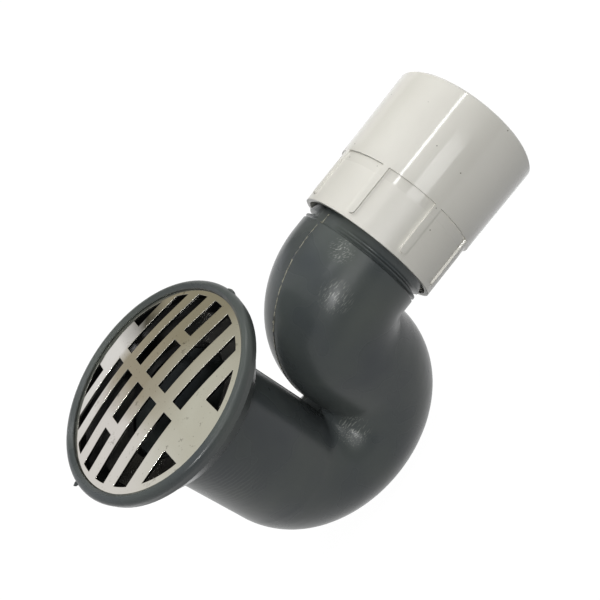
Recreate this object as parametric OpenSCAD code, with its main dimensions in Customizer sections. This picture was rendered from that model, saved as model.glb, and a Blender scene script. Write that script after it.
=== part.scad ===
// Floor shower trap: a moulded water-seal bend with a grate sprung into its
// rim and a screwed adaptor for a 50 mm waste pipe.
// The origin is the centre of the flange's underside, +Z points up out of the
// inlet and +X along the outlet. The mould parts on the plane y = 0.

/* [Tube] */
// Outside diameter of both bends
tube_od = 48; // [44:1:56]
// Wall of the moulded tube
wall = 3; // [2:0.5:4]
// Outside diameter of the inlet leg, under the flange
inlet_od = 45; // [42:1:52]

/* [Path] */
// Depth from the top of the rim to the start of the U bend
inlet_drop = 67.4; // [50:0.2:90]
// Gap between the two legs of the U bend
leg_gap = 1.5; // [1:0.5:10]
// Straight riser between the two bends
riser_l = 11; // [6:1:40]
// Centre-line radius of the outlet bend
outlet_bend_r = 20; // [18:1:30]
// Thickness of the web in the throat of the U bend
web_t = 2; // [1:0.5:4]
// Height of that web above the throat
web_h = 9; // [5:1:12]

/* [Flange] */
// Wall of the rim outside the grate
rim_wall = 2; // [2:0.1:5]
// Height of the rim band
rim_h = 5.4; // [5:0.2:9]
// Radius of the rim band's rounded top edge
rim_round = 2.3; // [0.5:0.1:2.5]
// How much the rim band narrows downwards
rim_draft = 0.4; // [0:0.1:1]
// Softened edge under the rim band
rim_edge = 0.6; // [0.2:0.1:1]
// Height of the funnel under the rim band
step_h = 9; // [7:0.5:12]
// How far the top of the funnel lies inside the rim band
step_in = 1.2; // [1:0.1:3]
// Diameter of the flange's underside, at the foot of the funnel
seat_od = 63; // [58:1:70]
// Bevel round that underside
seat_edge = 0.8; // [0.2:0.1:1.5]
// Radius of the fillet between flange and inlet leg
flange_fillet = 4; // [2:0.5:5]

/* [Cup] */
// Depth of the grate under the top of the rim
recess = 1.8; // [1.5:0.1:3]
// How far the lip reaches over the edge of the grate
lip_over = 1; // [0.8:0.1:1.5]
// Bevel on the inner edge of the lip
lip_bevel = 1; // [0.2:0.1:1]
// Width of the ledge that carries the grate
ledge_w = 2.6; // [2:0.1:4]
// Wall of the funnel, along the radius
funnel_wall = 3.7; // [3:0.1:5]
// Fall of the cup's floor towards the inlet leg
cup_fall = 1.8; // [0.5:0.1:3]
// Bevel between the cup's floor and the inlet leg
inlet_bevel = 1.5; // [0.5:0.1:2.5]

/* [Grate] */
// Outside diameter of the grate
grate_od = 72.8; // [68:0.2:80]
// Thickness of the grate's sheet
grate_t = 0.8; // [0.6:0.1:1.2]
// Rise of its dome
dome_rise = 4.4; // [2:0.2:6]
// Width of its flat edge
grate_edge = 2; // [1.5:0.1:3]
// Clearance between grate and groove
grate_gap = 0.3; // [0.1:0.1:0.5]
// Width of a slot
slot_w = 4.7; // [3:0.1:6]
// Distance from one row of slots to the next
slot_pitch = 9.3; // [8:0.1:10]
// Width of the bar across the middle
spine_w = 4; // [2:0.5:8]
// Width of the bridge that halves the slots of the middle row
bridge_w = 4; // [2:0.5:6]
// Solid sheet between the dome's foot and the slots
slot_margin = 1.2; // [0.8:0.1:3]
// Distance from the spine's centre to the short slots of the outer rows
short_slot_x = 9.4; // [6:0.2:12]
// Width of those short slots, where the dome's foot leaves room for it
short_slot_w = 6.7; // [4:0.1:8]

/* [Thread] */
// Distance from the outlet bend to the first turn of the thread
thread_start = 6; // [5:0.5:8]
// Pitch of the thread
thread_pitch = 3.5; // [3:0.25:4]
// Height of the thread
thread_h = 1; // [0.6:0.1:1.2]
// Width of the thread at its crest
thread_crest = 0.9; // [0.6:0.1:1.2]
// Clearance of the thread and the washer in the adaptor
thread_gap = 0.3; // [0.2:0.05:0.4]
// Turns by which the adaptor can still be tightened
spare_turns = 1.5; // [0.5:0.25:1.5]

/* [Adaptor] */
// Outside diameter of the waste pipe
pipe_od = 50; // [48:0.5:52]
// Clearance of the pipe in its socket, on the radius
pipe_gap = 0.2; // [0.1:0.05:0.4]
// Depth of the pipe socket
socket_l = 32; // [25:1:45]
// Least wall of the socket at its mouth
socket_wall = 3; // [2:0.25:5]
// How much the outside narrows from the mouth to the grip
socket_draft = 0.5; // [0:0.1:1]
// Bevel round the outside of the mouth
mouth_bevel = 0.8; // [0.2:0.1:1.5]
// Thickness of the shoulder between socket and thread
shoulder_t = 2.5; // [2:0.25:4]
// Length of the grip
grip_l = 21; // [18:0.5:30]
// Least wall of the grip round the thread
grip_wall = 1.6; // [1.2:0.1:3]
// How far the grip lies under the socket's outside
grip_in = 0.8; // [0.4:0.1:1]
// Number of ribs on the grip
rib_n = 8; // [4:1:16]
// Width of a rib
rib_w = 2.4; // [1.5:0.1:4]
// Distance from a rib's end to the edge of the adaptor
rib_end = 2; // [1:0.5:4]
// Distance from the outlet bend to the adaptor
adaptor_out = 10.5; // [10:0.5:16]

/* [Washer] */
// Thickness of the sealing washer
washer_t = 2.5; // [1.5:0.25:3]
// Clearance of the washer along the adaptor
washer_gap = 0.1; // [0.05:0.05:0.2]

/* [Hidden] */
$fn = 96;
// How far a cut runs past a face, or a root into the wall that carries it
over = 1;
tube_r = tube_od / 2;
bore_r = tube_r - wall;
inlet_r = inlet_od / 2;
inlet_bore_r = inlet_r - wall;
flange_h = rim_h + step_h;
u_r = tube_r + leg_gap / 2;
u_z = flange_h - inlet_drop;
riser_x = 2 * u_r;
bend_x = riser_x + outlet_bend_r;
bend_z = u_z + riser_l;
outlet_z = bend_z + outlet_bend_r;
grate_r = grate_od / 2;
groove_r = grate_r + grate_gap;
rim_r = groove_r + rim_wall;
step_r = rim_r - step_in;
seat_r = seat_od / 2;
lip_r = grate_r - lip_over;
cup_r = grate_r - ledge_w;
cup_foot_z = wall + cup_fall;
cup_foot_r = seat_r + (step_r - seat_r) * cup_foot_z / step_h - funnel_wall;
ledge_z = flange_h - recess - grate_t;
dome_foot_r = grate_r - grate_edge;
dome_r = (pow(dome_foot_r, 2) + pow(dome_rise, 2)) / (2 * dome_rise);
slot_r = dome_foot_r - slot_margin;
outer_row = floor((slot_r - slot_w / 2) / slot_pitch);
bridge_x = (spine_w / 2 + slot_r) / 2;
thread_r = tube_r + thread_h;
cavity_r = thread_r + thread_gap;
socket_r = pipe_od / 2 + pipe_gap;
grip_r = max(cavity_r + grip_wall, socket_r + socket_wall - socket_draft - grip_in);
socket_root_r = grip_r + grip_in;
mouth_r = socket_root_r + socket_draft;
washer_s = adaptor_out + grip_l - washer_gap - washer_t;
neck_l = washer_s - washer_gap - spare_turns * thread_pitch;
socket_s = grip_l + shoulder_t;

// Places its children on the outlet's axis, a distance along it
module on_outlet(along = 0) {
    translate([bend_x + along, 0, outlet_z])
        rotate([0, 90, 0])
            children();
}

// Rim band and the funnel under it, with the fillet down to the inlet leg
module flange_outline() {
    polygon([
        [0, 0],
        [seat_r - seat_edge, 0],
        [seat_r, seat_edge],
        [step_r, step_h],
        [rim_r - rim_draft - rim_edge, step_h],
        [rim_r - rim_draft, step_h + rim_edge],
        [rim_r, flange_h - rim_round],
        [rim_r - rim_round, flange_h - rim_round],
        [rim_r - rim_round, flange_h],
        [0, flange_h]
    ]);
    translate([rim_r - rim_round, flange_h - rim_round])
        circle(rim_round);
    difference() {
        translate([0, -flange_fillet])
            square([inlet_r + flange_fillet, flange_fillet]);
        translate([inlet_r + flange_fillet, -flange_fillet])
            circle(flange_fillet);
    }
}

// Recess, groove and cup above the bore of the inlet leg
module cup_outline() {
    translate([0, ledge_z])
        square([groove_r, grate_t + grate_gap]);
    polygon([
        [0, wall - inlet_bevel],
        [inlet_bore_r, wall - inlet_bevel],
        [inlet_bore_r + inlet_bevel, wall],
        [cup_foot_r, cup_foot_z],
        [cup_r, step_h],
        [cup_r, ledge_z],
        [lip_r, ledge_z],
        [lip_r, flange_h - lip_bevel],
        [lip_r + lip_bevel + over, flange_h + over],
        [0, flange_h + over]
    ]);
}

// One solid that follows the whole path, with room for a wall all round
module water_path(r, top_r) {
    translate([0, 0, u_z])
        cylinder(r1 = r, r2 = top_r, h = wall - u_z);
    translate([u_r, 0, u_z])
        rotate([-90, 0, 0])
            rotate_extrude(angle = 180)
                translate([u_r, 0])
                    circle(r);
    translate([riser_x, 0, u_z])
        cylinder(r = r, h = riser_l);
    translate([bend_x, 0, bend_z])
        rotate([-90, 0, 0])
            rotate([0, 0, 180])
                rotate_extrude(angle = 90)
                    intersection() {
                        translate([outlet_bend_r, 0])
                            circle(r);
                        translate([0, -tube_od])
                            square(2 * tube_od);
                    }
}

// One ridge of the neck's thread
module neck_ridge() {
    rotate_extrude()
        polygon([
            [tube_r - over, -thread_crest],
            [tube_r, -thread_crest],
            [thread_r, -thread_crest / 2],
            [thread_r, thread_crest / 2],
            [tube_r, thread_crest],
            [tube_r - over, thread_crest]
        ]);
}

module trap_body() {
    color("#3c4043")
        difference() {
            union() {
                rotate_extrude()
                    flange_outline();
                water_path(tube_r, inlet_r);
                on_outlet()
                    cylinder(r = tube_r, h = neck_l);
                for (s = [thread_start : thread_pitch : neck_l - thread_crest])
                    on_outlet(s)
                        neck_ridge();
                translate([u_r - leg_gap / 2 - over, -web_t / 2, u_z - leg_gap / 2])
                    cube([leg_gap + 2 * over, web_t, web_h]);
            }
            rotate_extrude()
                cup_outline();
            water_path(bore_r, inlet_bore_r);
            on_outlet()
                cylinder(r = bore_r, h = neck_l + over);
        }
}

// A quarter of the slots, from the bars across the middle outwards
module slot_quarter() {
    difference() {
        translate([spine_w / 2, 0])
            square([slot_r, slot_w / 2]);
        translate([bridge_x - bridge_w / 2, -over])
            square([bridge_w, slot_w]);
    }
    for (row = [1 : outer_row - 1])
        translate([spine_w / 2, row * slot_pitch - slot_w / 2])
            square([slot_r, slot_w]);
    translate([short_slot_x, outer_row * slot_pitch - slot_w / 2])
        square([slot_r, short_slot_w]);
}

module grate() {
    color("#c9ccce")
        translate([0, 0, ledge_z])
            difference() {
                union() {
                    cylinder(r = grate_r, h = grate_t);
                    intersection() {
                        cylinder(r = dome_foot_r, h = dome_rise + grate_t);
                        translate([0, 0, dome_rise + grate_t - dome_r])
                            sphere(dome_r, $fn = 256);
                    }
                }
                intersection() {
                    translate([0, 0, -over])
                        cylinder(r = dome_foot_r, h = dome_rise + over);
                    translate([0, 0, dome_rise - dome_r])
                        sphere(dome_r, $fn = 256);
                }
                translate([0, 0, -over])
                    linear_extrude(dome_rise + grate_t + 2 * over)
                        intersection() {
                            circle(slot_r);
                            for (turn = [0, 180], flip = [1, -1])
                                rotate([0, 0, turn])
                                    scale([1, flip])
                                        slot_quarter();
                        }
            }
}

module sealing_washer() {
    color("#26282a")
        on_outlet(washer_s)
            difference() {
                cylinder(r = cavity_r - thread_gap, h = washer_t);
                translate([0, 0, -over])
                    cylinder(r = bore_r, h = washer_t + 2 * over);
            }
}

// A grip rib: a bar with a round end, as it stands between two panels
module grip_rib() {
    translate([grip_r - over, -rib_w / 2, rib_end + rib_w / 2])
        cube([grip_in + 3 * over, rib_w, grip_l]);
    translate([grip_r - over, 0, rib_end + rib_w / 2])
        rotate([0, 90, 0])
            cylinder(r = rib_w / 2, h = grip_in + 3 * over);
}

// The sunk panels of the grip, from the edge to the socket, less the ribs
module grip_panels() {
    difference() {
        rotate_extrude()
            translate([grip_r, -over])
                square([grip_in + over, grip_l + over]);
        for (i = [0 : rib_n - 1])
            rotate([0, 0, (i + 0.5) * 360 / rib_n])
                grip_rib();
    }
}

module adaptor() {
    color("#e4e2db")
        on_outlet(adaptor_out)
            difference() {
                rotate_extrude()
                    polygon([
                        [0, 0],
                        [socket_root_r, 0],
                        [socket_root_r, grip_l],
                        [mouth_r, socket_s + socket_l - mouth_bevel],
                        [mouth_r - mouth_bevel, socket_s + socket_l],
                        [0, socket_s + socket_l]
                    ]);
                grip_panels();
                translate([0, 0, -over])
                    cylinder(r = cavity_r, h = grip_l + over);
                cylinder(r = bore_r, h = socket_s + socket_l);
                translate([0, 0, socket_s])
                    cylinder(r = socket_r, h = socket_l + over);
            }
}

trap_body();
grate();
sealing_washer();
adaptor();
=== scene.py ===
"""Looks of a floor shower trap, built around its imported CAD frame.

The trap is one soft PVC moulding with a mirror-polished steel grate in its rim
and a white rigid PVC adaptor on its threaded neck. Sizes are in millimetres in
the classes and in metres in Blender, in the frame of the CAD model.
"""
import logging
import math
import random
from dataclasses import dataclass, field
from enum import Enum
from typing import Any, Iterable

import bmesh
import bpy
from mathutils import Matrix, Vector


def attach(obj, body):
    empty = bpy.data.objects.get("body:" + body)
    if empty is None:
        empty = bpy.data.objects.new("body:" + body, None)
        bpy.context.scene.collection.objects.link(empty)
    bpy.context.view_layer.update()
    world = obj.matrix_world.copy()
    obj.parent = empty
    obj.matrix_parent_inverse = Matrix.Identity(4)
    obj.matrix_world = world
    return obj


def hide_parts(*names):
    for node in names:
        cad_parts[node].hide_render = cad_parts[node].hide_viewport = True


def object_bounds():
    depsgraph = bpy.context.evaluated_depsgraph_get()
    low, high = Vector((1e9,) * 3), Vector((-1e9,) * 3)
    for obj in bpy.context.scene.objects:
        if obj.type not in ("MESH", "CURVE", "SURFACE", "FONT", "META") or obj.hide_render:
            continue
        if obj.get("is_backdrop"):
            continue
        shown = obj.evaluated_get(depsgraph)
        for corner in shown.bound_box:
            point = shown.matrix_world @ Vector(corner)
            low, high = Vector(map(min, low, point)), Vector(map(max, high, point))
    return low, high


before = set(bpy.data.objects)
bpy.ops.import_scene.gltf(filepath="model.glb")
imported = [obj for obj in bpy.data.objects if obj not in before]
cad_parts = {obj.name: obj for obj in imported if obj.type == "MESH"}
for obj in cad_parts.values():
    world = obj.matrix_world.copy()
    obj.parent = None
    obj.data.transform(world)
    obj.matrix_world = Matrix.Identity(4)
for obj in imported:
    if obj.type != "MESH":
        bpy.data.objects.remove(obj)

MM = 0.001
LOG = logging.getLogger("shower_trap")
Colour = tuple[float, float, float, float]


def srgb(code: str) -> Colour:
    """Turns an sRGB hex value into a linear colour.

    Args:
        code: The colour as "#rrggbb".

    Returns:
        Linear red, green and blue with an alpha of 1.
    """
    parts = [int(code[i:i + 2], 16) / 255 for i in (1, 3, 5)]
    linear = [p / 12.92 if p <= 0.04045 else ((p + 0.055) / 1.055) ** 2.4 for p in parts]
    return (*linear, 1.0)


def add_node(tree: bpy.types.NodeTree, kind: str, values: dict[Any, Any] | None = None,
             **settings: Any) -> bpy.types.Node:
    """Adds a node with its settings, values and links.

    Args:
        tree: The node tree that takes the node.
        kind: The node's type name.
        values: Values of its inputs by name or number; a socket is linked.
        **settings: Attributes of the node.

    Returns:
        The new node.
    """
    node = tree.nodes.new(kind)
    for name, value in settings.items():
        setattr(node, name, value)
    for name, value in (values or {}).items():
        if isinstance(value, bpy.types.NodeSocket):
            tree.links.new(value, node.inputs[name])
        else:
            node.inputs[name].default_value = value
    return node


def new_material(name: str) -> tuple[bpy.types.Material, bpy.types.NodeTree]:
    """Makes an empty node material.

    Args:
        name: The material's name.

    Returns:
        The material and its node tree.
    """
    material = bpy.data.materials.new(name)
    material.use_nodes = True
    material.node_tree.nodes.clear()
    return material, material.node_tree


def dress(piece: bpy.types.Object, material: bpy.types.Material) -> None:
    """Gives a piece one material on all its faces.

    Args:
        piece: The mesh object.
        material: Its material.
    """
    piece.data.materials.clear()
    piece.data.materials.append(material)


def mesh_object(name: str, verts: list[Vector], faces: list[tuple[int, ...]],
                smooth: bool = True) -> bpy.types.Object:
    """Makes a mesh object from points and faces.

    Args:
        name: The object's name.
        verts: Points in millimetres.
        faces: Faces as tuples of point numbers.
        smooth: Whether the faces are shaded smooth.

    Returns:
        The object, linked to the scene.
    """
    mesh = bpy.data.meshes.new(name)
    mesh.from_pydata([v * MM for v in verts], [], faces)
    bm = bmesh.new()
    bm.from_mesh(mesh)
    bmesh.ops.recalc_face_normals(bm, faces=bm.faces)
    bm.to_mesh(mesh)
    bm.free()
    mesh.shade_smooth() if smooth else mesh.shade_flat()
    piece = bpy.data.objects.new(name, mesh)
    bpy.context.scene.collection.objects.link(piece)
    return piece


def soft_edged(node: str, name: str, width: float, segments: int,
               crease_deg: float = 35.0) -> bpy.types.Object:
    """Stands in for a CAD node with its own shape and rounded edges.

    Args:
        node: The CAD node.
        name: The new piece's name.
        width: Width of the rounding in millimetres.
        segments: Number of faces across the rounding.
        crease_deg: Edges that turn more than this are rounded.

    Returns:
        The piece, in the node's place.
    """
    bm = bmesh.new()
    bm.from_mesh(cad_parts[node].data)
    bmesh.ops.remove_doubles(bm, verts=bm.verts, dist=0.001 * MM)
    creases = [e for e in bm.edges if e.is_manifold and e.calc_face_angle() > math.radians(crease_deg)]
    bmesh.ops.bevel(bm, geom=creases, offset=width * MM, offset_type="OFFSET", segments=segments,
                    profile=0.5, affect="EDGES", clamp_overlap=True)
    bmesh.ops.triangulate(bm, faces=[f for f in bm.faces if len(f.verts) > 4])
    mesh = bpy.data.meshes.new(name)
    bm.to_mesh(mesh)
    bm.free()
    mesh.shade_smooth()
    mesh.set_sharp_from_angle(angle=math.radians(crease_deg))
    piece = bpy.data.objects.new(name, mesh)
    bpy.context.scene.collection.objects.link(piece)
    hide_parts(node)
    return piece


class Side(Enum):
    """The two ends of the rim's parting line."""

    OUTLET = 1
    FAR = -1


@dataclass(frozen=True)
class ScuffAndGlint:
    """A rubbed patch whose scratches are painted pale as a glint of the highlight: where it is, how far it reaches and
    how its streaks are turned from the X axis.
    """

    centre: tuple[float, float, float]
    reach: float
    turn_deg: tuple[float, float, float]


@dataclass(frozen=True)
class SoftPvc:
    """Plasticised PVC, injection moulded: a dark semi-gloss skin that dulls where it is rubbed, with its scratches
    there painted pale as glints.
    """

    colour: str = "#42474A"
    dusty: str = "#525753"
    # pale mark colour: the scratches, partly a painted glint where the highlight catches them, and the flow lines
    pale_mark_and_glint: str = "#A3A6A0"
    # painted shade: the dark colour given to the cup's walls under the grate, where shade falls
    painted_cup_shade: str = "#0A0B0B"
    cup_foot: float = 29.3
    cup_slope: float = 0.7
    cup_low: float = 0.3
    cup_top: float = 12.5
    roughness: float = 0.27
    ior: float = 1.34
    mottle_mm: float = 26.0
    wave_mm: float = 9.0
    # Real mould grain is near 0.1 mm, too fine for the render, so it is drawn coarser.
    grain_mm: float = 0.5
    scratch_glint_mm: float = 0.35
    stretch: float = 14.0
    flow_mm: float = 0.9
    flow_centre: tuple[float, float, float] = (-13.0, -18.0, -22.0)
    flow_reach: float = 15.0
    # Rubbed patches where the highlights fall; their scratches carry a painted glint.
    scuffs_and_glints: tuple[ScuffAndGlint, ...] = (
        ScuffAndGlint((27, -16, -58), 7.5, (0, -20, -18)),
        ScuffAndGlint((58, -18, -8), 6.5, (0, 0, 0)),
        ScuffAndGlint((71, -13, -2), 5.0, (0, 0, -40)),
    )

    def material(self) -> bpy.types.Material:
        """Builds the material.

        Returns:
            The material of the moulding.
        """
        material, tree = new_material("soft_pvc_moulded")
        place = add_node(tree, "ShaderNodeTexCoord").outputs["Object"]
        mottle = add_node(tree, "ShaderNodeTexNoise",
                          {"Vector": place, "Scale": 1 / (self.mottle_mm * MM), "Detail": 2.0})
        fine = add_node(tree, "ShaderNodeTexNoise",
                        {"Vector": place, "Scale": 1 / (self.grain_mm * MM), "Detail": 3.0})
        wave = add_node(tree, "ShaderNodeTexNoise",
                        {"Vector": place, "Scale": 1 / (self.wave_mm * MM), "Detail": 2.0})
        shade = add_node(tree, "ShaderNodeMapRange",
                         {"Value": mottle.outputs["Fac"], "From Min": 0.3, "From Max": 0.75})
        colour = add_node(tree, "ShaderNodeMix",
                          {0: shade.outputs[0], 6: srgb(self.colour), 7: srgb(self.dusty)}, data_type="RGBA")
        marks = add_node(tree, "ShaderNodeMath",
                         {0: self._scratches_and_glints(tree, place), 1: self._flow_lines(tree, place)},
                         operation="MAXIMUM").outputs[0]
        # Scratches painted pale, partly as a painted highlight where the lamps catch them, and faint flow lines.
        scratched_and_glinting = add_node(tree, "ShaderNodeMix",
                             {0: marks, 6: colour.outputs[2], 7: srgb(self.pale_mark_and_glint)}, data_type="RGBA")
        # Painted shade: the cup's walls under the grate are darkened as if in shade.
        painted_cup_shade = self._inside(tree, place)
        coloured = add_node(tree, "ShaderNodeMix",
                            {0: painted_cup_shade, 6: scratched_and_glinting.outputs[2], 7: srgb(self.painted_cup_shade)}, data_type="RGBA")
        rough = add_node(tree, "ShaderNodeMapRange",
                         {"Value": mottle.outputs["Fac"], "From Min": 0.3, "From Max": 0.7,
                          "To Min": self.roughness - 0.04, "To Max": self.roughness + 0.07})
        coarse = add_node(tree, "ShaderNodeBump",
                          {"Height": wave.outputs["Fac"], "Strength": 0.12, "Distance": 1.2 * MM})
        bump = add_node(tree, "ShaderNodeBump",
                        {"Height": fine.outputs["Fac"], "Strength": 0.015, "Distance": 0.1 * MM,
                         "Normal": coarse.outputs[0]})
        shader = add_node(tree, "ShaderNodeBsdfPrincipled",
                          {"Base Color": coloured.outputs[2], "Roughness": rough.outputs[0], "IOR": self.ior,
                           "Normal": bump.outputs[0]})
        add_node(tree, "ShaderNodeOutputMaterial", {"Surface": shader.outputs[0]})
        return material

    def _flow_lines(self, tree: bpy.types.NodeTree, place: bpy.types.NodeSocket) -> bpy.types.NodeSocket:
        """Draws the fine wavy lines that the melt leaves low on the outside of the leg.

        Args:
            tree: The material's node tree.
            place: The position on the object.

        Returns:
            A socket from 0 to 1, which is 0 away from the lines.
        """
        centre = tuple(c * MM for c in self.flow_centre)
        away = add_node(tree, "ShaderNodeVectorMath", {0: place, 1: centre}, operation="DISTANCE")
        mask = add_node(tree, "ShaderNodeMapRange",
                        {"Value": away.outputs["Value"], "From Min": self.flow_reach * MM,
                         "From Max": 0.4 * self.flow_reach * MM})
        lines = add_node(tree, "ShaderNodeTexWave",
                         {"Vector": place, "Scale": 1 / (6 * self.flow_mm * MM), "Distortion": 3.0, "Detail": 2.0,
                          "Detail Scale": 1.2}, bands_direction="Z")
        thin = add_node(tree, "ShaderNodeMapRange",
                        {"Value": lines.outputs["Fac"], "From Min": 0.55, "From Max": 0.95, "To Max": 0.1})
        return add_node(tree, "ShaderNodeMath", {0: mask.outputs[0], 1: thin.outputs[0]},
                        operation="MULTIPLY").outputs[0]

    def _inside(self, tree: bpy.types.NodeTree, place: bpy.types.NodeSocket) -> bpy.types.NodeSocket:
        """Finds the walls of the cup under the grate, which are painted darker as the shade that falls there.

        Args:
            tree: The material's node tree.
            place: The position on the object.

        Returns:
            A socket that is 1 inside the cup and 0 elsewhere.
        """
        part = add_node(tree, "ShaderNodeSeparateXYZ", {0: place})
        flat = add_node(tree, "ShaderNodeCombineXYZ", {0: part.outputs["X"], 1: part.outputs["Y"]})
        radius = add_node(tree, "ShaderNodeVectorMath", {0: flat.outputs[0]}, operation="LENGTH")
        wall = add_node(tree, "ShaderNodeMath", {0: part.outputs["Z"], 1: self.cup_slope, 2: self.cup_foot * MM},
                        operation="MULTIPLY_ADD")
        within = add_node(tree, "ShaderNodeMath", {0: radius.outputs["Value"], 1: wall.outputs[0]},
                          operation="LESS_THAN")
        above = add_node(tree, "ShaderNodeMath", {0: part.outputs["Z"], 1: self.cup_low * MM},
                         operation="GREATER_THAN")
        below = add_node(tree, "ShaderNodeMath", {0: part.outputs["Z"], 1: self.cup_top * MM},
                         operation="LESS_THAN")
        both = add_node(tree, "ShaderNodeMath", {0: above.outputs[0], 1: below.outputs[0]}, operation="MULTIPLY")
        return add_node(tree, "ShaderNodeMath", {0: both.outputs[0], 1: within.outputs[0]},
                        operation="MULTIPLY").outputs[0]

    def _scratches_and_glints(self, tree: bpy.types.NodeTree, place: bpy.types.NodeSocket) -> bpy.types.NodeSocket:
        """Draws short pale streaks inside the rubbed patches: scratches, painted pale as a glint where the highlight
        catches them.

        Args:
            tree: The material's node tree.
            place: The position on the object.

        Returns:
            A socket from 0, clean, to 1, scratched and painted as a glint.
        """
        total: bpy.types.NodeSocket | None = None
        for scuff_glint in self.scuffs_and_glints:
            centre = tuple(c * MM for c in scuff_glint.centre)
            away = add_node(tree, "ShaderNodeVectorMath", {0: place, 1: centre}, operation="DISTANCE")
            mask = add_node(tree, "ShaderNodeMapRange",
                            {"Value": away.outputs["Value"], "From Min": scuff_glint.reach * MM,
                             "From Max": 0.25 * scuff_glint.reach * MM})
            turned = add_node(tree, "ShaderNodeMapping",
                              {"Vector": place, "Rotation": tuple(math.radians(t) for t in scuff_glint.turn_deg),
                               "Scale": (self.stretch, 1.0, 1.0)}, vector_type="TEXTURE")
            streak = add_node(tree, "ShaderNodeTexNoise",
                              {"Vector": turned.outputs[0], "Scale": 1 / (self.scratch_glint_mm * MM), "Detail": 2.0})
            line = add_node(tree, "ShaderNodeMapRange",
                            {"Value": streak.outputs["Fac"], "From Min": 0.54, "From Max": 0.66, "To Max": 0.8})
            part = add_node(tree, "ShaderNodeMath", {0: mask.outputs[0], 1: line.outputs[0]}, operation="MULTIPLY")
            if total is None:
                total = part.outputs[0]
            else:
                total = add_node(tree, "ShaderNodeMath", {0: total, 1: part.outputs[0]},
                                 operation="MAXIMUM").outputs[0]
        return total


@dataclass(frozen=True)
class TornFlash:
    """Thin PVC squeezed out between the mould's halves: torn, pale where it is thin."""

    colour: str = "#45484A"
    pale: str = "#A5A391"
    roughness: float = 0.5
    ior: float = 1.5
    tear_mm: float = 2.2

    def material(self) -> bpy.types.Material:
        """Builds the material.

        Returns:
            The material of the flash on the bend.
        """
        material, tree = new_material("soft_pvc_flash")
        place = add_node(tree, "ShaderNodeTexCoord").outputs["Object"]
        tear = add_node(tree, "ShaderNodeTexNoise",
                        {"Vector": place, "Scale": 1 / (self.tear_mm * MM), "Detail": 3.0})
        thin = add_node(tree, "ShaderNodeMapRange",
                        {"Value": tear.outputs["Fac"], "From Min": 0.42, "From Max": 0.58})
        colour = add_node(tree, "ShaderNodeMix",
                          {0: thin.outputs[0], 6: srgb(self.colour), 7: srgb(self.pale)}, data_type="RGBA")
        shader = add_node(tree, "ShaderNodeBsdfPrincipled",
                          {"Base Color": colour.outputs[2], "Roughness": self.roughness, "IOR": self.ior})
        add_node(tree, "ShaderNodeOutputMaterial", {"Surface": shader.outputs[0]})
        return material


@dataclass(frozen=True)
class MirrorSteel:
    """Stainless steel sheet, pressed and mirror polished: clear reflections with faint hairlines."""

    colour: str = "#D2CFC6"
    mark: str = "#4C493F"
    roughness: float = 0.05
    dent_mm: float = 14.0
    hairline_mm: float = 0.3
    speck_mm: float = 1.6
    smudge_mm: float = 4.5

    def material(self) -> bpy.types.Material:
        """Builds the material.

        Returns:
            The material of the grate.
        """
        material, tree = new_material("stainless_steel_polished")
        place = add_node(tree, "ShaderNodeTexCoord").outputs["Object"]
        dent = add_node(tree, "ShaderNodeTexNoise",
                        {"Vector": place, "Scale": 1 / (self.dent_mm * MM), "Detail": 1.0})
        stretched = add_node(tree, "ShaderNodeMapping", {"Vector": place, "Scale": (0.03, 1.0, 1.0)})
        hair = add_node(tree, "ShaderNodeTexNoise",
                        {"Vector": stretched.outputs[0], "Scale": 1 / (self.hairline_mm * MM), "Detail": 2.0})
        rough = add_node(tree, "ShaderNodeMapRange",
                         {"Value": hair.outputs["Fac"], "From Min": 0.45, "From Max": 0.8,
                          "To Min": self.roughness, "To Max": self.roughness + 0.1})
        bump = add_node(tree, "ShaderNodeBump",
                        {"Height": dent.outputs["Fac"], "Strength": 0.3, "Distance": 1.0 * MM})
        cells = add_node(tree, "ShaderNodeTexVoronoi", {"Vector": place, "Scale": 1 / (self.speck_mm * MM)})
        speck = add_node(tree, "ShaderNodeMapRange",
                         {"Value": cells.outputs["Distance"], "From Min": 0.13, "From Max": 0.05, "To Max": 0.45})
        cloud = add_node(tree, "ShaderNodeTexNoise",
                         {"Vector": place, "Scale": 1 / (self.smudge_mm * MM), "Detail": 5.0, "Roughness": 0.7})
        smudge = add_node(tree, "ShaderNodeMapRange",
                          {"Value": cloud.outputs["Fac"], "From Min": 0.62, "From Max": 0.72, "To Max": 0.6})
        marks = add_node(tree, "ShaderNodeMath", {0: speck.outputs[0], 1: smudge.outputs[0]}, operation="MAXIMUM")
        colour = add_node(tree, "ShaderNodeMix",
                          {0: marks.outputs[0], 6: srgb(self.colour), 7: srgb(self.mark)}, data_type="RGBA")
        shader = add_node(tree, "ShaderNodeBsdfPrincipled",
                          {"Base Color": colour.outputs[2], "Metallic": 1.0, "Roughness": rough.outputs[0],
                           "Normal": bump.outputs[0]})
        add_node(tree, "ShaderNodeOutputMaterial", {"Surface": shader.outputs[0]})
        return material


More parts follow.
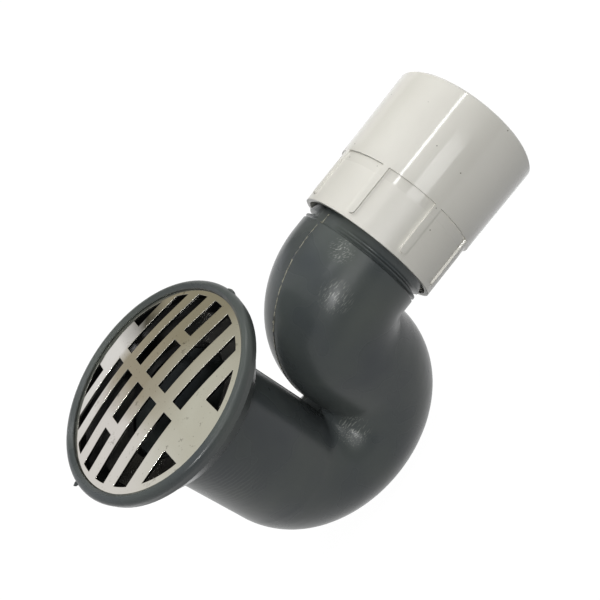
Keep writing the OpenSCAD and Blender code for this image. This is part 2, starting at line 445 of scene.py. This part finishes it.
@dataclass(frozen=True)
class RigidPvc:
    """Rigid PVC, injection moulded: glossy warm white with faint flow marks and stray specks."""

    colour: str = "#E1DFD7"
    shade: str = "#D6D4CB"
    speck: str = "#6E685C"
    roughness: float = 0.1
    grip_rough: float = 0.32
    grip_end: float = 97.5
    ior: float = 1.54
    flow_mm: float = 22.0
    speck_mm: float = 5.0

    def material(self) -> bpy.types.Material:
        """Builds the material.

        Returns:
            The material of the adaptor.
        """
        material, tree = new_material("rigid_pvc_moulded")
        place = add_node(tree, "ShaderNodeTexCoord").outputs["Object"]
        flow = add_node(tree, "ShaderNodeTexNoise",
                        {"Vector": place, "Scale": 1 / (self.flow_mm * MM), "Detail": 3.0})
        colour = add_node(tree, "ShaderNodeMix",
                          {0: flow.outputs["Fac"], 6: srgb(self.colour), 7: srgb(self.shade)}, data_type="RGBA")
        cells = add_node(tree, "ShaderNodeTexVoronoi", {"Vector": place, "Scale": 1 / (self.speck_mm * MM)})
        dot = add_node(tree, "ShaderNodeMapRange",
                       {"Value": cells.outputs["Distance"], "From Min": 0.06, "From Max": 0.03})
        specked = add_node(tree, "ShaderNodeMix",
                           {0: dot.outputs[0], 6: colour.outputs[2], 7: srgb(self.speck)}, data_type="RGBA")
        bump = add_node(tree, "ShaderNodeBump",
                        {"Height": flow.outputs["Fac"], "Strength": 0.05, "Distance": 1.0 * MM})
        part = add_node(tree, "ShaderNodeSeparateXYZ", {0: place})
        rough = add_node(tree, "ShaderNodeMapRange",
                         {"Value": part.outputs["X"], "From Min": (self.grip_end - 0.3) * MM,
                          "From Max": (self.grip_end + 0.3) * MM, "To Min": self.grip_rough,
                          "To Max": self.roughness})
        shader = add_node(tree, "ShaderNodeBsdfPrincipled",
                          {"Base Color": specked.outputs[2], "Roughness": rough.outputs[0], "IOR": self.ior,
                           "Normal": bump.outputs[0]})
        add_node(tree, "ShaderNodeOutputMaterial", {"Surface": shader.outputs[0]})
        return material


@dataclass(frozen=True)
class SealRubber:
    """Nitrile rubber, punched from sheet: matt black with a fine tooth."""

    colour: str = "#1E1F20"
    roughness: float = 0.75
    ior: float = 1.52
    tooth_mm: float = 0.4

    def material(self) -> bpy.types.Material:
        """Builds the material.

        Returns:
            The material of the washer.
        """
        material, tree = new_material("nitrile_rubber_sheet")
        place = add_node(tree, "ShaderNodeTexCoord").outputs["Object"]
        tooth = add_node(tree, "ShaderNodeTexNoise", {"Vector": place, "Scale": 1 / (self.tooth_mm * MM)})
        bump = add_node(tree, "ShaderNodeBump",
                        {"Height": tooth.outputs["Fac"], "Strength": 0.3, "Distance": 0.1 * MM})
        shader = add_node(tree, "ShaderNodeBsdfPrincipled",
                          {"Base Color": srgb(self.colour), "Roughness": self.roughness, "IOR": self.ior,
                           "Normal": bump.outputs[0]})
        add_node(tree, "ShaderNodeOutputMaterial", {"Surface": shader.outputs[0]})
        return material


@dataclass
class TrapBody:
    """The dark moulding: flange, inlet leg, U bend, riser, outlet bend and neck."""

    tube_r: float = 24.0
    inlet_r: float = 22.5
    u_r: float = 24.75
    u_z: float = -53.0
    bend_x: float = 69.5
    bend_z: float = -42.0
    bend_r: float = 20.0
    neck_end: float = 73.5
    fillet: float = 4.0
    rim_r: float = 38.7
    outlet_z: float = -22.0
    shoulder_x: float = 74.7
    neck_r: float = 22.8
    ridge_h: float = 1.1
    ridge_fade_deg: tuple[float, float] = (12.0, 40.0)
    # Thread rings as x and radius on the CAD neck, and x and share of the ridge's height on the real one.
    ridges: tuple[tuple[float, float, float, float], ...] = (
        (75.05, 25, 74.9, -0.7), (75.95, 25, 75.6, -0.7), (76.4, 24, 75.95, 1.0), (78.1, 24, 76.3, 1.0),
        (78.55, 25, 76.7, -0.7), (79.45, 25, 77.8, -0.7), (79.9, 24, 78.25, 1.0),
    )
    flash_w: float = 0.5
    flash_h: float = 0.3
    flash_step: float = 0.45
    # Where the flash is thick: two lumps on the bend and the corner between the leg and the riser.
    tears: tuple[tuple[Vector, float], ...] = (
        (Vector((39.6, 0, -9.3)), 0.9), (Vector((37.0, 0, -12.6)), 0.7), (Vector((23.2, 0, -33.0)), 4.5),
    )
    nubs: tuple[tuple[Side, float, float, float, float], ...] = (
        (Side.OUTLET, 0.6, 4.6, 2.4, 12.2), (Side.FAR, 1.6, 1.5, 1.6, 12.2),
    )
    finish: SoftPvc = field(default_factory=SoftPvc)
    torn: TornFlash = field(default_factory=TornFlash)

    def build(self) -> list[bpy.types.Object]:
        """Dresses the moulding and adds the flash along its parting line.

        Returns:
            The pieces of the sub-assembly.
        """
        material, torn = self.finish.material(), self.torn.material()
        body = self._body()
        dress(body, material)
        pieces = [body]
        for name, path, height in self._parting_lines():
            line = self._flash(name, path, height)
            dress(line, material if name == "flash_outer" else torn)
            pieces.append(line)
        for side, reach, width, height, z in self.nubs:
            nub = self._nub(side, reach, width, height, z)
            dress(nub, material)
            pieces.append(nub)
        for piece in pieces:
            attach(piece, "trap")
        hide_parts("trap_body")
        return pieces

    def _body(self) -> bpy.types.Object:
        """Copies the CAD moulding and gives it the real neck, which is slimmer than the bend.

        Returns:
            The moulding, with a shoulder and with ridges that fade towards the parting line.
        """
        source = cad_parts["trap_body"].data
        bm = bmesh.new()
        bm.from_mesh(source)
        bmesh.ops.remove_doubles(bm, verts=bm.verts, dist=0.001 * MM)
        mesh = bpy.data.meshes.new("trap_moulding")
        bm.to_mesh(mesh)
        bm.free()
        mesh.shade_smooth()
        mesh.set_sharp_from_angle(angle=math.radians(35))
        kept = dict(self._corners(source))
        normals = [kept.get(place, Vector()) for place, _ in self._corners(mesh)]
        slimmed = {vert.index for vert in mesh.vertices if self._slim(vert)}
        mesh.normals_split_custom_set([Vector() if loop.vertex_index in slimmed else normal
                                       for loop, normal in zip(mesh.loops, normals)])
        body = bpy.data.objects.new("trap_moulding", mesh)
        bpy.context.scene.collection.objects.link(body)
        return body

    def _corners(self, mesh: bpy.types.Mesh) -> Iterable[tuple[tuple[int, ...], Vector]]:
        """Gives each face corner's place, which names it in any copy of the mesh, and its normal.

        Args:
            mesh: The mesh to go through.

        Returns:
            Pairs of a rounded place and a normal, in the order of the corners.
        """
        for face in mesh.polygons:
            for corner in face.loop_indices:
                place = mesh.vertices[mesh.loops[corner].vertex_index].co
                yield (tuple(round(c / (0.01 * MM)) for c in (*face.center, *place)),
                       mesh.corner_normals[corner].vector.copy())

    def _slim(self, vert: bpy.types.MeshVertex) -> bool:
        """Moves a point of the neck inwards.

        Args:
            vert: The point.

        Returns:
            Whether the point is on the neck.
        """
        across, up = vert.co.y / MM, vert.co.z / MM - self.outlet_z
        x, radius = vert.co.x / MM, math.hypot(across, up)
        if x < self.shoulder_x or radius < self.tube_r - 0.5:
            return False
        share = radius - self.tube_r
        for ring_x, ring_r, new_x, new_share in self.ridges:
            if abs(x - ring_x) < 0.05 and abs(radius - ring_r) < 0.1:
                x, share = new_x, new_share
        low, high = self.ridge_fade_deg
        off = math.degrees(math.acos(max(-1.0, min(1.0, up / radius))))
        fade = max(0.0, min(1.0, (min(off, 180 - off) - low) / (high - low)))
        factor = (self.neck_r + self.ridge_h * share * fade) / radius
        vert.co = (x * MM, across * factor * MM, (self.outlet_z + up * factor) * MM)
        return True

    def _nub(self, side: Side, reach: float, width: float, height: float, z: float) -> bpy.types.Object:
        """Makes the small torn lump that a mould gate or joint leaves on the rim.

        Args:
            side: Which end of the parting line it is on.
            reach: How far it stands out in millimetres.
            width: Its width along the rim.
            height: Its height.
            z: Its middle above the flange's underside.

        Returns:
            The lump.
        """
        draw = random.Random(side.name)
        count, rings = 10, 5
        verts: list[Vector] = []
        for i in range(rings):
            far = i / rings
            shrink = math.sqrt(1 - far ** 2)
            for k in range(count):
                turn, rough = math.tau * k / count, draw.uniform(0.85, 1.15) * shrink / 2
                verts.append(Vector((side.value * (self.rim_r - 0.5 + (reach + 0.5) * far),
                                     width * rough * math.cos(turn), z + height * rough * math.sin(turn))))
        verts.append(Vector((side.value * (self.rim_r + reach), draw.uniform(-0.2, 0.2), z + 0.2 * height)))
        faces = [(i * count + k, i * count + (k + 1) % count, (i + 1) * count + (k + 1) % count, (i + 1) * count + k)
                 for i in range(rings - 1) for k in range(count)]
        tip = len(verts) - 1
        faces += [(tip - count + k, tip - count + (k + 1) % count, tip) for k in range(count)]
        faces.append(tuple(range(count))[::-1])
        return mesh_object(f"nub_{side.name.lower()}", verts, faces)

    def _parting_lines(self) -> list[tuple[str, list[Vector], float]]:
        """Follows the mould's parting line round the outside, in the plane y = 0.

        Returns:
            Name, points and flash height of each run.
        """
        top = -self.fillet
        outer = [Vector((-self._leg_r(z), 0, z)) for z in self._steps(top, self.u_z)]
        outer += self._arc(self.u_r, self.u_z, self.u_r + self.tube_r, 180, 360)
        riser = self.u_r * 2 + self.tube_r
        notch_z = self.bend_z + self.bend_r - self.tube_r
        outer += [Vector((riser, 0, z)) for z in self._steps(self.u_z, notch_z)]
        inner = self._arc(self.bend_x, self.bend_z, self.bend_r + self.tube_r, 180, 90)
        inner += [Vector((self.bend_x + 5 * i / 10, 0, inner[-1].z)) for i in range(1, 11)]
        inner += [Vector((self.shoulder_x + 0.5 * i, 0, self.outlet_z + self.neck_r)) for i in range(1, 9)]
        left = self.u_r * 2 - self.tube_r
        inner = [Vector((left, 0, z)) for z in self._steps(self.u_z + 9, self.bend_z)] + inner
        leg = [Vector((self._leg_r(z), 0, z)) for z in self._steps(top, self.u_z + 9)]
        return [("flash_outer", outer, 1.0), ("flash_bend", inner, 1.3), ("flash_leg", leg, 1.0)]

    def _leg_r(self, z: float) -> float:
        """Gives the inlet leg's radius at a height."""
        return self.inlet_r + (self.tube_r - self.inlet_r) * z / self.u_z

    def _steps(self, start: float, end: float) -> list[float]:
        """Divides a straight run into even steps."""
        count = max(2, round(abs(end - start) / self.flash_step))
        return [start + (end - start) * i / count for i in range(count + 1)]

    def _arc(self, x: float, z: float, r: float, start: float, end: float) -> list[Vector]:
        """Divides an arc in the plane y = 0 into even steps.

        Args:
            x: The centre's x.
            z: The centre's z.
            r: The arc's radius.
            start: First angle in degrees, from +X towards +Z.
            end: Last angle in degrees.

        Returns:
            Points along the arc.
        """
        count = round(abs(math.radians(end - start)) * r / self.flash_step)
        angles = [math.radians(start + (end - start) * i / count) for i in range(count + 1)]
        return [Vector((x + r * math.cos(a), 0, z + r * math.sin(a))) for a in angles]

    def _flash(self, name: str, path: list[Vector], height: float) -> bpy.types.Object:
        """Makes a thin, ragged fin along a path in the plane y = 0.

        Args:
            name: The piece's name.
            path: The points that the fin follows.
            height: Factor on the fin's usual height.

        Returns:
            The fin.
        """
        draw = random.Random(name)
        verts: list[Vector] = []
        faces: list[tuple[int, ...]] = []
        rise, lean = 0.5, 0.0
        middle = Vector((self.u_r, 0, self.u_z / 2))
        for i, point in enumerate(path):
            ahead = path[min(i + 1, len(path) - 1)] - path[max(i - 1, 0)]
            out = Vector((ahead.z, 0, -ahead.x)).normalized()
            if name == "flash_bend" and out.dot(point - middle) < 0:
                out = -out
            torn = 2.6 if any((point - place).length < reach for place, reach in self.tears) else 1.0
            rise += 0.5 * (torn * draw.uniform(0.1, 1.0) - rise)
            lean += 0.4 * (draw.uniform(-1, 1) - lean)
            top = self.flash_h * height * rise
            side = Vector((0, self.flash_w / 2, 0))
            sunk = point - out * 0.15
            tip = point + out * top + side * lean * 0.6
            verts += [sunk - side, tip - side * 0.2, tip + side * 0.2, sunk + side]
            if i:
                a, b = 4 * (i - 1), 4 * i
                faces += [(a + k, a + (k + 1) % 4, b + (k + 1) % 4, b + k) for k in range(4)]
        last = len(verts) - 4
        faces += [(3, 2, 1, 0), (last, last + 1, last + 2, last + 3)]
        return mesh_object(name, verts, faces, smooth=False)


@dataclass
class Grate:
    """The pressed steel grate."""

    edge: float = 0.16
    dome_r: float = 136.67
    top_centre: float = -119.67
    under_centre: float = -120.47
    on_dome: float = 0.01
    flat_from: float = 26.0
    flat_to: float = 34.3
    flatness: float = 0.006
    finish: MirrorSteel = field(default_factory=MirrorSteel)

    def build(self) -> list[bpy.types.Object]:
        """Rounds and dresses the grate."""
        grate = soft_edged("grate", "grate_polished", self.edge, 2)
        normals = [self._press(vert) for vert in grate.data.vertices]
        grate.data.normals_split_custom_set_from_vertices(normals)
        dress(grate, self.finish.material())
        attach(grate, "trap")
        return [grate]

    def _press(self, vert: bpy.types.MeshVertex) -> Vector:
        """Flattens the dome a little towards the lip, and finds a point's exact normal.

        Args:
            vert: The point, which moves up where the real dome is flatter.

        Returns:
            The normal, or a null vector that keeps the mesh's own.
        """
        place = vert.co / MM
        radius = math.hypot(place.x, place.y)
        past = min(radius, self.flat_to) - self.flat_from
        lift = self.flatness * past ** 2 if past > 0 and radius < self.flat_to + 0.3 else 0.0
        vert.co.z += lift * MM
        for centre, side in ((self.top_centre, 1), (self.under_centre, -1)):
            away = place - Vector((0, 0, centre))
            if abs(away.length - self.dome_r) < self.on_dome:
                slope = radius / away.z - (2 * self.flatness * past if lift else 0.0)
                out = Vector((place.x, place.y, 0)).normalized()
                return (out * slope + Vector((0, 0, 1))).normalized() * side
        return Vector()


@dataclass
class Adaptor:
    """The screwed adaptor and the washer inside it."""

    edge: float = 0.25
    finish: RigidPvc = field(default_factory=RigidPvc)
    seal: SealRubber = field(default_factory=SealRubber)

    def build(self) -> list[bpy.types.Object]:
        """Rounds and dresses the adaptor, and dresses its washer."""
        adaptor = soft_edged("adaptor", "adaptor_moulded", self.edge, 3)
        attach(adaptor, "adaptor")
        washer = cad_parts["sealing_washer"]
        dress(adaptor, self.finish.material())
        dress(washer, self.seal.material())
        return [adaptor, washer]


@dataclass
class Studio:
    """Camera, lamps, floor and world."""

    eye: tuple[float, float, float] = (39.564, -198.559, 163.166)
    pan_deg: float = 3.265
    tilt_deg: float = 41.516
    roll_deg: float = -49.140
    focal_px: float = 777.67
    frame_px: float = 600.0
    sensor: float = 36.0
    floor_size: float = 6000.0
    aim: tuple[float, float, float] = (60.0, 0.0, -26.0)

    def build(self) -> None:
        """Sets up everything round the object."""
        scene = bpy.context.scene
        scene.view_settings.view_transform = "Standard"
        self._camera(scene)
        self._lamp("softbox_above", azimuth=42, elevation=63, distance=1000, size=(1000, 50), power=2.2)
        self._lamp("softbox_front", azimuth=-26, elevation=36, distance=900, size=(90, 90), power=2.0)
        self._lamp("softbox_side", azimuth=104, elevation=40, distance=1000, size=(260, 260), power=1.4)
        self._lamp("fill", azimuth=5, elevation=36, distance=1300, size=(700, 500), power=3.4)
        skylight = self._lamp("skylight", azimuth=152, elevation=57, distance=1300, size=(700, 700), power=10)
        skylight.visible_glossy = False
        self._floor()
        self._world(scene)

    def _camera(self, scene: bpy.types.Scene) -> None:
        """Puts the camera where the photograph was taken from."""
        lens = bpy.data.cameras.new("camera")
        lens.sensor_width = self.sensor
        lens.lens = self.focal_px / self.frame_px * self.sensor
        lens.clip_start = 0.01
        camera = bpy.data.objects.new("camera", lens)
        scene.collection.objects.link(camera)
        turn = (Matrix.Rotation(-math.radians(self.pan_deg), 4, "Z")
                @ Matrix.Rotation(math.radians(90 - self.tilt_deg), 4, "X")
                @ Matrix.Rotation(math.radians(self.roll_deg), 4, "Z"))
        camera.matrix_world = Matrix.Translation(Vector(self.eye) * MM) @ turn
        scene.camera = camera

    def _lamp(self, name: str, azimuth: float, elevation: float, distance: float,
              size: tuple[float, float], power: float) -> bpy.types.Object:
        """Adds a rectangular soft lamp that faces the object.

        Args:
            name: The lamp's name.
            azimuth: Degrees from -Y towards +X.
            elevation: Degrees above the horizon.
            distance: Distance from the object in millimetres.
            size: Length, which runs with the outlet, and width in millimetres.
            power: Power in watts.

        Returns:
            The lamp.
        """
        lamp = bpy.data.lights.new(name, "AREA")
        lamp.shape = "RECTANGLE"
        lamp.size, lamp.size_y = size[0] * MM, size[1] * MM
        lamp.energy = power
        holder = bpy.data.objects.new(name, lamp)
        a, e = math.radians(azimuth), math.radians(elevation)
        away = Vector((math.sin(a) * math.cos(e), -math.cos(a) * math.cos(e), math.sin(e)))
        holder.location = (Vector(self.aim) + away * distance) * MM
        along = (Vector((1, 0, 0)) - away * away.x).normalized()
        holder.rotation_mode = "QUATERNION"
        holder.rotation_quaternion = Matrix((along, away.cross(along), away)).transposed().to_quaternion()
        bpy.context.scene.collection.objects.link(holder)
        return holder

    def _floor(self) -> None:
        """Lays a pale floor under the object; it looks white but keeps the shadow."""
        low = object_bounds()[0].z / MM
        half = self.floor_size / 2
        corners = [Vector((x * half, y * half, low)) for x, y in ((-1, -1), (1, -1), (1, 1), (-1, 1))]
        floor = mesh_object("floor", corners, [(0, 1, 2, 3)], smooth=False)
        material, tree = new_material("floor_paper")
        path = add_node(tree, "ShaderNodeLightPath")
        seen = self._seen(tree, path)
        paper = add_node(tree, "ShaderNodeBsdfDiffuse", {"Color": srgb("#505050")})
        glow = add_node(tree, "ShaderNodeEmission", {"Color": srgb("#FFFFFF"), "Strength": 0.97})
        both = add_node(tree, "ShaderNodeAddShader", {0: paper.outputs[0], 1: glow.outputs[0]})
        shown = add_node(tree, "ShaderNodeMixShader", {0: seen, 1: paper.outputs[0], 2: both.outputs[0]})
        add_node(tree, "ShaderNodeOutputMaterial", {"Surface": shown.outputs[0]})
        dress(floor, material)
        floor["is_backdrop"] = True

    def _seen(self, tree: bpy.types.NodeTree, path: bpy.types.Node) -> bpy.types.NodeSocket:
        """Is 1 for rays that show the background: camera, glossy and transmission rays."""
        first = add_node(tree, "ShaderNodeMath",
                         {0: path.outputs["Is Camera Ray"], 1: path.outputs["Is Glossy Ray"]},
                         operation="MAXIMUM")
        second = add_node(tree, "ShaderNodeMath",
                          {0: first.outputs[0], 1: path.outputs["Is Transmission Ray"]}, operation="MAXIMUM")
        return second.outputs[0]

    def _world(self, scene: bpy.types.Scene) -> None:
        """Makes a soft world: white to the camera, with a warm grey wall in reflections."""
        world = bpy.data.worlds.new("studio")
        scene.world = world
        world.use_nodes = True
        tree = world.node_tree
        tree.nodes.clear()
        path = add_node(tree, "ShaderNodeLightPath")
        look = add_node(tree, "ShaderNodeTexCoord").outputs["Generated"]
        part = add_node(tree, "ShaderNodeSeparateXYZ", {0: look})
        wall = self._ramp(tree, part.outputs["X"], -0.75, 0.45,
                          ((0.0, "#FFFFFF"), (0.33, "#F6F4F8"), (0.45, "#B5AE9F"), (0.7, "#A49E8B"), (1.0, "#959280")))
        frame_side = self._ramp(tree, part.outputs["X"], -0.14, 0.2,
                                ((0.0, "#FBFBFF"), (0.35, "#57544A"), (0.7, "#57544A"), (1.0, "#F4F2EC")))
        lower = self._ramp(tree, part.outputs["Z"], 0.27, 0.36, ((0.0, "#FFFFFF"), (1.0, "#000000")))
        upper = self._ramp(tree, part.outputs["Z"], 0.62, 0.95, ((0.0, "#000000"), (1.0, "#FFFFFF")))
        room = self._ramp(tree, part.outputs["Z"], -0.2, 0.9, ((0.0, "#A0A0A0"), (0.5, "#A8A8A8"), (1.0, "#F0F0F0")))
        window = self._ramp(tree, part.outputs["X"], -0.85, -0.45, ((0.0, "#FFFFFF"), (1.0, "#000000")))
        behind = self._ramp(tree, part.outputs["Y"], 0.15, 0.45, ((0.0, "#000000"), (1.0, "#FFFFFF")))
        ceiling = add_node(tree, "ShaderNodeMix", {0: upper, 6: wall, 7: srgb("#E8EAE2")}, data_type="RGBA")
        plate = add_node(tree, "ShaderNodeMix", {0: lower, 6: ceiling.outputs[2], 7: frame_side}, data_type="RGBA")
        sides = add_node(tree, "ShaderNodeMix", {0: window, 6: room, 7: srgb("#FFFFFF")}, data_type="RGBA")
        mirrored = add_node(tree, "ShaderNodeMix", {0: behind, 6: sides.outputs[2], 7: plate.outputs[2]},
                            data_type="RGBA")
        soft = add_node(tree, "ShaderNodeBackground", {"Color": srgb("#FFFFFF"), "Strength": 0.04})
        white = add_node(tree, "ShaderNodeBackground", {"Color": srgb("#FFFFFF"), "Strength": 1.0})
        glossy = add_node(tree, "ShaderNodeBackground", {"Color": mirrored.outputs[2], "Strength": 1.0})
        mixed = add_node(tree, "ShaderNodeMixShader",
                         {0: path.outputs["Is Glossy Ray"], 1: soft.outputs[0], 2: glossy.outputs[0]})
        shown = add_node(tree, "ShaderNodeMixShader",
                         {0: path.outputs["Is Camera Ray"], 1: mixed.outputs[0], 2: white.outputs[0]})
        add_node(tree, "ShaderNodeOutputWorld", {"Surface": shown.outputs[0]})

    def _ramp(self, tree: bpy.types.NodeTree, value: bpy.types.NodeSocket, low: float, high: float,
              tones: tuple[tuple[float, str], ...]) -> bpy.types.NodeSocket:
        """Turns a direction's height or side into a tone.

        Args:
            tree: The world's node tree.
            value: One part of the direction.
            low: Its value at the first tone.
            high: Its value at the last tone.
            tones: Places from 0 to 1 and their colours.

        Returns:
            The tone's socket.
        """
        span = add_node(tree, "ShaderNodeMapRange", {"Value": value, "From Min": low, "From Max": high})
        ramp = add_node(tree, "ShaderNodeValToRGB", {0: span.outputs[0]})
        while len(ramp.color_ramp.elements) < len(tones):
            ramp.color_ramp.elements.new(0.5)
        for element, (position, code) in zip(ramp.color_ramp.elements, tones):
            element.position = position
            element.color = srgb(code)
        return ramp.outputs[0]


def main() -> None:
    """Builds the sub-assemblies in order and reports each piece."""
    logging.basicConfig(level=logging.INFO, format="%(message)s")
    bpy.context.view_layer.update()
    Studio().build()
    for part in (TrapBody(), Grate(), Adaptor()):
        for piece in part.build():
            LOG.info("%s: %d faces", piece.name, len(piece.data.polygons))


if __name__ == "__main__":
    main()
